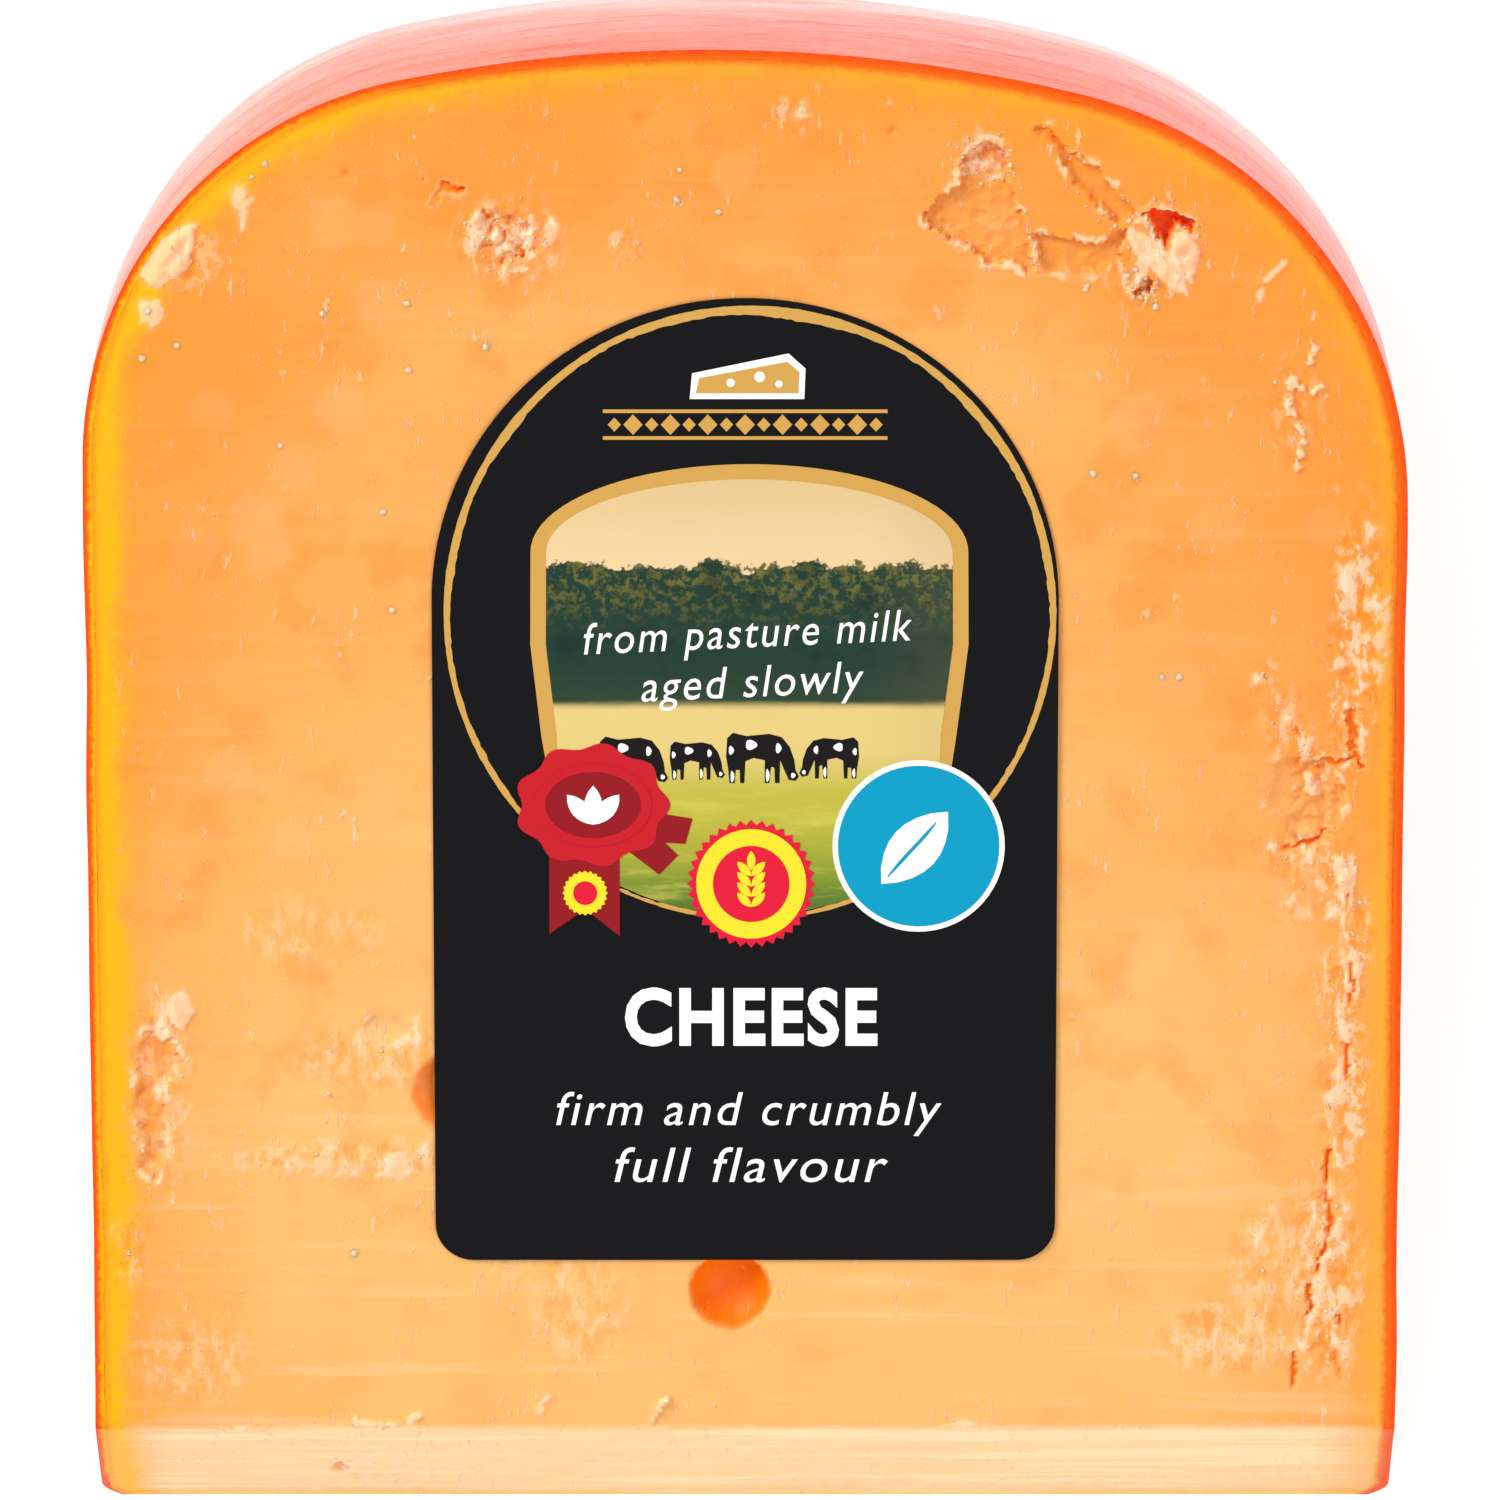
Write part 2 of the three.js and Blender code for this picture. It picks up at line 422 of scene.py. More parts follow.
# Thin chips and curls that stand up from the face: an outline and a height
chips = [
    ([(-50.3, 154.9), (-48.9, 156.5), (-47.9, 158.0), (-45.4, 159.3), (-45.7, 157.1), (-46.0, 155.6),
      (-47.5, 154.4), (-48.2, 153.8), (-49.3, 154.1)], 0.4),
    ([(-42.4, 162.1), (-41.6, 162.4), (-40.7, 161.2), (-41.2, 160.3), (-41.5, 158.7), (-42.0, 161.2)], 0.3),
    ([(-50.1, 152.4), (-48.6, 152.7), (-48.4, 151.2), (-49.2, 150.3), (-49.9, 151.2)], 0.3),
    ([(31.9, 158.8), (33.6, 158.0), (35.0, 156.8), (36.4, 154.7), (36.7, 153.0), (35.0, 154.1),
      (33.0, 155.9), (31.6, 158.0)], 0.35),
    ([(35.6, 158.4), (37.2, 158.4), (37.5, 156.8), (37.0, 154.1), (36.0, 155.2), (35.2, 156.8)], 0.5),
    ([(-48.4, 92.0), (-47.0, 92.8), (-46.2, 91.0), (-47.2, 89.6), (-48.2, 90.4)], 0.45),
    ([(-49.9, 89.6), (-48.6, 90.2), (-48.1, 89.0), (-49.0, 88.2)], 0.5),
    ([(-30.4, 78.2), (-28.6, 78.8), (-27.8, 77.4), (-29.0, 76.0), (-30.4, 76.6)], 0.2),
    ([(49.6, 104.4), (51.2, 103.6), (50.8, 100.4), (49.8, 100.8)], 0.5),
    ([(50.6, 96.6), (51.8, 95.2), (51.2, 92.0), (50.2, 93.0)], 0.4),
]

# Crumbled zones: place, reach across, reach along, strength
crumbled = [
    (51.2, 125, 2.4, 10, 0.95),
    (50.4, 116.5, 1.8, 4, 0.8),
    (46.9, 112.6, 1.5, 3.5, 0.85),
    (46.0, 105.0, 3.4, 1.6, 0.7),
    (46.6, 101.5, 2.0, 3.0, 0.5),
    (49.6, 102.5, 1.7, 4.0, 0.8),
    (51.2, 98.0, 1.5, 3.5, 0.8),
    (50.0, 92.5, 1.7, 4.5, 0.85),
    (44.8, 117.0, 1.6, 3.0, 0.5),
    (43.4, 120.6, 1.0, 1.2, 0.5),
    (50.2, 84, 2.0, 8, 0.85),
    (48.8, 67, 3.2, 9, 0.9),
    (-31.6, 44.6, 4.4, 4.0, 0.7),
    (-10.0, 47.0, 30.0, 3.0, 0.3),
    (20.0, 40.5, 24.0, 1.6, 0.5),
    (-30.0, 40.0, 14.0, 1.4, 0.4),
    (40.8, 62, 6.0, 3, 0.6),
    (44.0, 68, 3.0, 6, 0.5),
    (-49.2, 84, 2.4, 9, 0.5),
    (-52.0, 70, 1.6, 3, 0.6),
    (-46.8, 60, 5.0, 4, 0.35),
    (-36.0, 98, 7.0, 3, 0.3),
    (-30.0, 87, 9.0, 3, 0.4),
    (-32.0, 78, 11.0, 1.6, 0.65),
    (-20.0, 72.6, 3.0, 5, 0.5),
    (-14.0, 65, 4.0, 5, 0.4),
    (-19.4, 157.7, 4.2, 3.4, 0.8),
    (-9.7, 157.4, 1.4, 1.2, 0.6),
    (3.7, 168.4, 2.0, 1.5, 0.6),
    (19.6, 165.2, 2.4, 1.8, 0.6),
    (33.4, 155.4, 3.2, 3.2, 0.8),
    (45.5, 143, 2.4, 5.0, 0.35),
    (-46.0, 156.4, 3.0, 3.0, 0.4),
]

# Pale round blotches, and white crystals
blotches = [
    (-33.8, 159.4, 2.3), (-30.5, 159.1, 1.8), (-30.6, 152.4, 2.2), (-33.5, 143.2, 2.3),
    (-44.3, 143.2, 2.0), (-37.5, 138.2, 2.1), (-40.7, 133.9, 2.4), (-45.7, 131.7, 2.0),
    (-39.6, 130.9, 1.9), (-16.1, 157.2, 1.9), (32.8, 142.2, 2.6), (39.2, 133.3, 2.4),
    (48.1, 133.4, 1.9), (36.4, 119.6, 2.0), (46.0, 96.6, 2.4), (44.8, 87.0, 3.2),
    (-47.6, 79.6, 2.6), (-1.0, 163.4, 2.0), (21.0, 159.4, 1.8), (-43.0, 112.0, 2.2),
    (-38.0, 106.0, 1.8), (34.0, 96.0, 2.2), (29.0, 74.0, 2.4), (38.0, 78.0, 2.0),
]
crystals = [
    (-35.0, 151.5), (-28.0, 152.4), (-21.5, 148.7), (-38.6, 140.2), (-30.1, 134.5), (-27.9, 146.7),
    (28.3, 153.9), (34.0, 152.1), (32.4, 137.6), (28.9, 137.8), (-5.4, 163.8), (-2.2, 160.2),
    (34.8, 120.2), (36.2, 120.2), (-29.4, 126.0), (28.2, 153.6), (-33.0, 69.6), (-50.0, 147.7),
    (-47.1, 148.8), (-49.4, 151.8), (-39.6, 164.3), (-40.7, 163.2), (-5.6, 161.2), (32.3, 155.3),
    (31.6, 154.7), (33.0, 153.0),
]

# Where the grid is made finer: place, reach across, reach along
fineSpots = [
    (21, 161, 8.5, 8), (29, 162, 6, 7), (34.5, 156.5, 4.5, 6), (-1.3, 66.3, 4.2, 4.2), (-26.2, 83.9, 2.2, 4),
    (-48, 156, 4, 5), (-20, 159.5, 7.5, 5.5), (49.5, 95, 4.5, 36), (47.5, 66, 4.5, 11), (46, 146, 3, 10),
    (-48.8, 84, 4, 11), (-25, 162, 3.5, 3.5), (-34.5, 45, 3, 3), (-33, 54.4, 7, 1.6), (-7.5, 55.5, 2, 2),
    (-42, 53.4, 3, 2),
]
finestSpots = [
    (20, 160.5, 6, 7), (28.5, 161.5, 5.5, 6.5), (34, 157, 4, 5.5), (48.8, 112.5, 3.4, 6),
    (46.8, 105.3, 3.0, 1.8), (-24.8, 162, 2.2, 2.2), (45.8, 144.5, 1.8, 7.5), (-47.5, 156.2, 3.2, 3.4),
]


def lineDistance(across, along, line):
    nearest = 1e9
    for (x0, y0), (x1, y1) in zip(line, line[1:]):
        dx, dy = x1 - x0, y1 - y0
        share = min(max(((across - x0) * dx + (along - y0) * dy) / (dx * dx + dy * dy), 0), 1)
        nearest = min(nearest, math.hypot(across - x0 - dx * share, along - y0 - dy * share))
    return nearest


def insideDepth(across, along, outline):
    # how far inside the outline a point is, below 0 outside
    closed = outline + outline[:1]
    inside = False
    for (x0, y0), (x1, y1) in zip(closed, closed[1:]):
        if (y0 > along) != (y1 > along) and across < (x1 - x0) * (along - y0) / (y1 - y0) + x0:
            inside = not inside
    nearest = lineDistance(across, along, closed)
    return nearest if inside else -nearest


def boxRound(points, reach):
    xs, ys = [p[0] for p in points], [p[1] for p in points]
    return min(xs) - reach, max(xs) + reach, min(ys) - reach, max(ys) + reach


curlBoxes = [(*boxRound(line, 1), line, half, rise) for line, half, rise in curls]
tearBoxes = [(*boxRound(tear["outline"], 1.5), tear) for tear in tears]
chipBoxes = [(*boxRound(outline, 1), outline, rise) for outline, rise in chips]
crackBoxes = [(*boxRound(line, 1.5), line, half, hollow) for line, half, hollow in cracks]


def near(boxes, across, along):
    # what the boxes round a place hold
    return [held for left, right, foot, top, *held in boxes if left < across < right and foot < along < top]


def wander(across, along, size, seed):
    return noise.noise(Vector((across / size, along / size, cheese["seed"] + seed)))


def surfaceAt(across, along):
    # the height of the cut face in mm, and its marks, at a place in mm
    height = cheese["waves"] * wander(across, along, 14, 0) + cheese["grain"] * wander(across, along, 1.6, 1)
    # the marks include the shares of painted shade in the eyes, cracks and torn floors
    pale = deep = dark = crumble = 0.0
    shift = 0.4 * wander(across, along, 1.3, 2) + 0.35 * wander(across, along, 0.45, 12)
    drift = 0.4 * wander(across, along, 1.3, 3) + 0.35 * wander(across, along, 0.45, 13)
    for x, y, reachAcross, reachAlong, strength in crumbled:
        if abs(across - x) > 1.5 * reachAcross + 1:
            continue
        away = math.hypot((across + 2 * shift - x) / reachAcross, (along + 2 * drift - y) / reachAlong)
        if away < 1.3:
            crumble = max(crumble, strength * easeStep(1.3 - away, 0, 0.7))
    if crumble:
        rubble = wander(across, along * 0.6, 1.5, 6) + 0.5 * wander(across, along * 0.7, 0.7, 7)
        height += crumble * (cheese["rubble"] * rubble - 0.06)
        pale = max(pale, 0.75 * crumble * easeStep(rubble, 0.05, 0.45))
    for x, y, radius, hollow, share in eyes:
        away = math.hypot(across + shift * 0.3 - x, along + drift * 0.3 - y)
        if away < radius + 1:
            ball = (radius ** 2 + hollow ** 2) / (2 * hollow)
            if away < radius:
                height -= math.sqrt(ball ** 2 - away ** 2) - (ball - hollow)
            # painted shade in the eye
            deep = max(deep, share * easeStep(radius - away, -0.3, 0.3))
    for (tear,) in near(tearBoxes, across, along):
        inside = insideDepth(across + shift, along + drift, tear["outline"])
        if inside > -1.2:
            share = easeStep(inside, 0, tear["soft"])
            rubble = wander(across, along, 0.9, 4) + 0.5 * wander(across, along, 0.45, 5)
            height -= share * (tear["depth"] - tear["rough"] * rubble)
            lip = easeStep(inside, -0.6, -0.05) * (1 - share)
            patchy = easeStep(wander(across, along, 1.8, 8), -0.1, 0.3)
            height += (0.03 + cheese["lip"] * patchy) * lip
            hole = 1 - tear.get("deep", 0) * share
            edge = 1 - min(abs(inside + 0.1) / 0.5, 1)
            pale = max(pale, 0.7 * patchy * hole * edge, tear["pale"] * share)
            # painted shade on the torn floor
            deep = max(deep, tear.get("deep", 0) * share)
            dark = max(dark, tear.get("dark", 0) * share)
    for outline, rise in near(chipBoxes, across, along):
        inside = insideDepth(across + 0.6 * shift, along + 0.6 * drift, outline)
        share = easeStep(inside, -0.25, 0.25)
        height += rise * share * (0.7 + 0.6 * wander(across, along, 1.0, 9))
        edge = 1 - min(abs(inside) / 0.5, 1)
        pale = max(pale, share * 0.5 + 0.3 * edge)
    for line, half, rise in near(curlBoxes, across, along):
        half *= 0.9 + 1.1 * wander(across, along, 0.9, 15)
        away = lineDistance(across + 0.9 * shift, along + 0.9 * drift, line) / max(half, 0.05)
        share = easeStep(1.6 - away, 0, 1) * easeStep(wander(across, along, 1.1, 16), -0.4, 0.0)
        height += rise * share
        pale = max(pale, 0.75 * share)
    for line, half, hollow in near(crackBoxes, across, along):
        away = lineDistance(across + 0.8 * shift, along + 0.8 * drift, line) / half
        if away < 3:
            share = easeStep(1.5 - away, 0, 1) * easeStep(wander(across, along, 2.2, 10), -0.35, 0.0)
            height -= hollow * share
            # painted shade along the crack
            deep = max(deep, share)
            pale = max(pale, 0.3 * easeStep(0.9 - abs(away - 2.1), 0, 0.6)) * (1 - share)
    for x, y, radius in blotches:
        if abs(across - x) > radius + 1:
            continue
        away = math.hypot(across + 0.7 * shift - x, along + 0.7 * drift - y)
        pale = max(pale, 0.13 * easeStep(radius - away, -0.3, 0.5))
    return height, min(pale, 1), deep, dark, crumble


def trimmedGrid(section, low):
    # a flat grid over the face and the tip's cut, trimmed to the section's outline
    width, length = 2 * section.side + 2 * mm, wheel["radius"] + 1 * mm - low
    bm = bmesh.new()
    bmesh.ops.create_grid(bm, x_segments=round(width / cheese["grid"]),
                          y_segments=round(length / cheese["grid"]), size=0.5)
    bmesh.ops.scale(bm, vec=(width, length, 1), verts=bm.verts)
    bmesh.ops.translate(bm, vec=(0, low + length / 2, 0), verts=bm.verts)
    outline = section.points(low, 2.5 * mm)
    for start, end in zip(outline, outline[1:]):
        run = (end - start).normalized()
        if abs(run.x) < 1e-6 and min(start.y, end.y) > low + 0.1 * mm:
            continue  # one cut is enough for each flat side
        bmesh.ops.bisect_plane(bm, geom=bm.verts[:] + bm.edges[:] + bm.faces[:], dist=1e-6,
                               plane_co=(*start, 0), plane_no=(-run.y, run.x, 0), clear_outer=True)
    bmesh.ops.remove_doubles(bm, verts=bm.verts, dist=0.05 * mm)
    return bm


def refine(bm, spots):
    # twice as fine a grid where the cheese is torn or holed
    def isFine(spot):
        across, along = spot.x / mm, spot.y / mm
        return any(math.hypot((across - x) / reachAcross, (along - y) / reachAlong) < 1
                   for x, y, reachAcross, reachAlong in spots)
    chosen = [edge for edge in bm.edges if isFine((edge.verts[0].co + edge.verts[1].co) / 2)]
    bmesh.ops.subdivide_edges(bm, edges=chosen, cuts=1, use_grid_fill=True)


wear = {
    "rimIn": 1.1 * mm,  # the rim's foot is drawn in
    "rimHeight": 18 * mm,
    "tipOut": 0.6 * mm,  # the tip's foot is pushed out
    "tipHeight": 15 * mm,
    "sideWave": 0.003,
    "corner": 3 * mm,  # the tip's rear corners are worn round
    "cornerIn": 0.03,
}


def weather(bm):
    # the cheese and its coat share this wear
    for vert in bm.verts:
        x, y, z = vert.co
        rimShare = easeStep(y, 25 * mm, 60 * mm) * max(1 - z / wear["rimHeight"], 0) ** 2
        tipShare = easeStep(-y, 57 * mm, 62 * mm) * max(1 - z / wear["tipHeight"], 0)
        vert.co.y -= wear["rimIn"] * rimShare + wear["tipOut"] * tipShare
        vert.co.x *= 1 + wear["sideWave"] * noise.noise(Vector((x / 0.06, y / 0.011, z / 0.03)))
        away = math.hypot(y - cadLow.y, z) / wear["corner"]
        if away < 1:
            vert.co.x *= 1 - wear["cornerIn"] * (1 - away) ** 2


def addCrumbs(cheeseMesh, names):
    # crystals, and loose crumbs on the torn edges and in the crumbled zones
    bm = bmesh.new()
    marks = [bm.verts.layers.float.new(name) for name in names]
    chance = random.Random(int(cheese["seed"]))
    places = [(x, y, chance.uniform(*cheese["crystalSize"])) for x, y in crystals]
    while len(places) < cheese["crumbs"]:
        if chance.random() < 0.45:
            outline = chance.choice(tears[:7])["outline"]
            corner = chance.randrange(len(outline))
            (x0, y0), (x1, y1) = outline[corner - 1], outline[corner]
            share = chance.random()
            x = x0 + (x1 - x0) * share + chance.gauss(0, cheese["scatter"])
            y = y0 + (y1 - y0) * share + chance.gauss(0, cheese["scatter"])
        else:
            spotX, spotY, reachAcross, reachAlong, strength = chance.choice(crumbled)
            x, y = chance.gauss(spotX, reachAcross * 0.45), chance.gauss(spotY, reachAlong * 0.5)
        underLabel = abs(x) < labelHalf / mm + 0.4 and labelLow / mm - 0.4 < y < labelHigh / mm + 0.4
        if abs(x) < 52.6 and y > 55 and not underLabel and surfaceAt(x, y)[3] < 0.3:
            places.append((x, y, chance.uniform(*cheese["crumbSize"])))
    for x, y, radius in places:
        isCrumb = radius <= cheese["crumbSize"][1]
        made = bmesh.ops.create_icosphere(bm, subdivisions=1, radius=radius * mm)["verts"]
        squash = Vector([chance.uniform(0.5, 1.5) for i in range(3)]) if isCrumb else Vector((1, 1, 1))
        bmesh.ops.scale(bm, vec=squash, verts=made)
        bmesh.ops.rotate(bm, cent=(0, 0, 0), verts=made,
                         matrix=Matrix.Rotation(chance.uniform(0, 3), 3, Vector((1, chance.random(), 1))))
        spot, out = foldedPlace(y * mm, cheese["edgeRadius"])
        spot = spot + out * (surfaceAt(x, y)[0] - radius * (0.1 if isCrumb else 0.65)) * mm
        bmesh.ops.translate(bm, vec=(x * mm, spot.x, spot.y), verts=made)
        for vert in made:
            vert[marks[0]] = 20
            vert[marks[1]] = 0.6 if isCrumb else 2
    mergeInto(cheeseMesh, bm)


def buildCheese():
    section = WheelSection(wheel["coatThickness"] - cheese["lap"])
    low = wheel["tipFront"] - tipLength
    bm = trimmedGrid(section, low)
    refine(bm, fineSpots)
    refine(bm, finestSpots)
    names = ("rindDepth", "pale", "deep", "dark", "crumble")
    marks = [bm.verts.layers.float.new(name) for name in names]
    for vert in bm.verts:
        across, along = vert.co.x, vert.co.y
        spot, out = foldedPlace(along, cheese["edgeRadius"])
        flat = math.hypot(spot.x - axisY, spot.y)
        depth = max(section.depth(across, flat), 0)
        height, *shares = surfaceAt(across / mm, along / mm)
        height *= easeStep(depth, 0, 1.2 * mm) * easeStep(along - low, 0, 1 * mm)
        spot = spot + out * height * mm
        vert.co = (across, spot.x, spot.y)
        for mark, share in zip(marks, (depth / mm, *shares)):
            vert[mark] = share
    foot = [edge for edge in bm.edges if edge.is_boundary and max(v.co.z for v in edge.verts) < 0.01 * mm]
    rim = [edge for edge in bm.edges if edge.is_boundary and edge not in set(foot)]
    for step in range(cheese["wallSteps"], 0, -1):
        made = bmesh.ops.extrude_edge_only(bm, edges=rim)["geom"]
        for vert in only(bmesh.types.BMVert, made):
            radius = math.hypot(vert.co.y - axisY, vert.co.z)
            turn = math.atan2(vert.co.z, vert.co.y - axisY) * (step - 1) / step
            vert.co.y, vert.co.z = axisY + radius * math.cos(turn), radius * math.sin(turn)
            vert[marks[0]] = 0
        rim = only(bmesh.types.BMEdge, made)
    bmesh.ops.remove_doubles(bm, verts=[v for v in bm.verts if v.co.z < 1e-5], dist=1e-5)
    base = bmesh.ops.holes_fill(bm, edges=[edge for edge in bm.edges if edge.is_boundary])["faces"]
    bmesh.ops.recalc_face_normals(bm, faces=bm.faces)
    # rings in the base carry how deep it is under the rind
    middle = Matrix.Translation((0, -(low + wheel["radius"]) / 2 - axisY, 0))
    for share in (0.985, 0.97, 0.95, 0.92, 0.85):
        base = bmesh.ops.extrude_discrete_faces(bm, faces=base)["faces"]
        bmesh.ops.scale(bm, vec=(share, share, 1), space=middle, verts=base[0].verts)
        for vert in base[0].verts:
            vert[marks[0]] = section.depth(vert.co.x, vert.co.y - axisY) / mm
    addCrumbs(bm, names)
    weather(bm)
    return bm


def cheesePaint():
    paint = Paint("cutCheese")
    rindDepth, crumble = paint.attribute("rindDepth"), paint.attribute("crumble")
    pale, deep = paint.attribute("pale"), paint.attribute("deep")
    up = paint.faceAxis("Y") * (1 / mm)
    forward = (paint.axis("Y") - cadLow.y) * (1 / mm)  # from the tip's foot
    cloud = paint.noise(24 * mm, detail=3)
    patch = paint.noise(6 * mm, detail=3, shift=(0.3, 0, 0))
    fine = paint.noise(0.6 * mm, detail=4, rough=0.65)
    crumbs = paint.noise(1.2 * mm, detail=5, rough=0.7, warp=0.2, scale=(1, 0.55, 0.55))
    strokes = paint.noise(1.5 * mm, detail=4, rough=0.55, scale=(0.05, 1, 1))
    # paler in the middle and towards the tip, warmer near the rind
    paler = up.step(145, 75) * 0.6 + rindDepth.step(3, 26) * 0.48 + (cloud - 0.5) * 1.1
    colour = paint.blend(paler.clamp(), cheese["body"], cheese["light"])
    colour = paint.blend(patch.step(0.48, 0.72) * 0.4 * (1 - up.step(95, 60) * 0.6), colour, cheese["warm"])
    colour = paint.blend(strokes.step(0.52, 0.7) * (0.05 + up.step(100, 60) * 0.2), colour, cheese["pale"])
    # the tip's own cut: paler and streaked, with a painted highlight, a bright broken line, where it meets
    # the face
    tip = (forward + (strokes - 0.5) * 0.6).step(6.3, 5.6)
    colour = paint.blend(tip * (0.6 + strokes.step(0.46, 0.62) * 0.35), colour, cheese["tipPale"])
    foot = (paint.axis("Z") * (1 / mm) + (fine - 0.5) * 2).step(2.0, 0.4) * tip
    colour = paint.blend(foot * 0.4, colour, cheese["underRind"])
    highlightBreaks = paint.noise(2.0 * mm, detail=5, rough=0.65, scale=(0.5, 1, 1)).step(0.48, 0.58)
    # painted highlight along the tip's edge
    edge = forward.step(5.6, 5.75) * (forward + (fine - 0.5) * 0.6).step(6.1, 5.9) * highlightBreaks
    colour = paint.blend(edge * 0.65, colour, cheese["crystalAndHighlight"])
    # the glow and the yellow band under the rind
    leftSide = (paint.axis("X") * (-1 / mm)).step(5, 48)
    ragged = rindDepth + (patch - 0.5) * 4 + (fine - 0.5) * 2.2
    colour = paint.blend(ragged.step(7, 0.8) * 0.5, colour, cheese["glow"])
    under = ragged.step(3.4, 1.0) * (leftSide * 0.9 + 0.05) + ragged.step(2.0, 0.4) * 0.35
    colour = paint.blend(under.clamp(), colour, cheese["underRind"])
    rindLine = (rindDepth + (fine - 0.5) * 0.8).step(0.8, 0.0) * (1 - leftSide * 0.6)
    colour = paint.blend(rindLine, colour, cheese["rindLine"])
    # holes, crumbled places and flakes. The holes, cracks and torn floors get painted shade: a deeper orange,
    # darker still in the deepest hole
    colour = paint.blend(deep, colour, cheese["deep"])
    colour = paint.blend(paint.attribute("dark"), colour, cheese["dark"])
    # painted shade in the gaps between the crumbs, where their bump is low
    gapShadeMask = crumble * crumbs.step(0.47, 0.41) * (0.7 - tip * 0.6)
    colour = paint.blend(gapShadeMask, colour, cheese["gapShade"])
    rubble = crumble * crumbs.step(0.51, 0.57) * rindDepth.step(0.8, 2.2) * (1 - deep)
    torn = (pale + (crumbs - 0.5) * 0.8).step(0.3, 0.42)
    colour = paint.blend((rubble * 0.85 + pale * 0.6 + torn * 0.35).clamp(), colour, cheese["crumb"])
    colour = paint.blend((pale - 1).clamp(), colour, cheese["crystalAndHighlight"])
    # painted glints: pale specks on the high points of the fine grain
    colour = paint.blend(fine.step(0.66, 0.74) * 0.35 * rindDepth.step(1, 3), colour, cheese["pale"])
    nicks = paint.noise(1.0 * mm, detail=3, rough=0.6, warp=0.3, scale=(1.7, 0.55, 0.55))
    nicks = nicks.step(0.61, 0.68) * paint.noise(8 * mm, detail=3).step(0.4, 0.6) * rindDepth.step(1, 3)
    colour = paint.blend(nicks * 0.55, colour, cheese["crumb"])
    normal = paint.bump(fine, 0.06 * mm, 0.5)
    normal = paint.bump(nicks, 0.18 * mm, 0.6, normal=normal)
    normal = paint.bump(strokes, 0.14 * mm, 0.6, normal=normal)
    normal = paint.bump(crumbs * (crumble + 0.04), 0.45 * mm, 0.7, normal=normal)
    roughness = 0.38 + patch * 0.25
    return paint.finish(Base_Color=colour, Roughness=roughness, Normal=normal, Specular_IOR_Level=0.22,
                        Subsurface_Weight=0.35, Subsurface_Radius=(1.0, 0.45, 0.12),
                        Subsurface_Scale=2 * mm)


print("cheese")
cheesePiece = newPiece("cheese", buildCheese(), [cheesePaint()])
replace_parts(cheesePiece, "cheese_paste")


# The coat: a closed strip of the section, turned through the wedge's angle and cut at the tip
coat = {
    "step": 1.0 * mm,
    "turns": 50,
    "paintedGlare": 0.06,  # the share of painted glare, a painted reflection, in its colour, and the gloss over it
    "gloss": 0.85,
    "orange": tint(236, 84, 2),
    "red": tint(216, 50, 4),
    # the painted glare's colour: a pale pink reflection of the light
    "paintedGlareColour": tint(252, 206, 196),
    # painted shade in the coat's creases
    "creaseShade": tint(206, 48, 20),
    "cutRed": tint(240, 66, 0),
    "cutOrange": tint(246, 104, 0),
}


def buildCoat():
    foot = wheel["tipRear"] - 6 * mm
    bm = bmesh.new()
    loops = []
    for section in (WheelSection(0), WheelSection(wheel["coatThickness"])):
        verts = [bm.verts.new((p.x, axisY + p.y, 0)) for p in section.points(foot, coat["step"])]
        loops += [bm.edges.new(pair) for pair in zip(verts, verts[1:])]
    strip = bmesh.ops.bridge_loops(bm, edges=loops)["faces"]
    bmesh.ops.spin(bm, geom=strip, cent=(0, axisY, 0), axis=(1, 0, 0), angle=wheel["cutAngle"],
                   steps=coat["turns"], use_merge=False, use_duplicate=False)
    made = bmesh.ops.bisect_plane(bm, geom=bm.verts[:] + bm.edges[:] + bm.faces[:], dist=1e-7,
                                  plane_co=(0, *tipEdge), plane_no=(0, *tipOut), clear_outer=True)
    bmesh.ops.holes_fill(bm, edges=only(bmesh.types.BMEdge, made["geom_cut"]))
    bmesh.ops.remove_doubles(bm, verts=bm.verts, dist=0.01 * mm)
    bmesh.ops.recalc_face_normals(bm, faces=bm.faces)
    depth = bm.verts.layers.float.new("depth")
    outer = WheelSection(0)
    for vert in bm.verts:
        vert[depth] = outer.depth(vert.co.x, math.hypot(vert.co.y - axisY, vert.co.z)) / mm
    cuts = (Vector((0, *faceOut)), Vector((0, 0, -1)), Vector((0, *tipOut)))
    for face in bm.faces:
        if max(face.normal.dot(out) for out in cuts) > 0.999:
            face.material_index = 1
    weather(bm)
    return bm


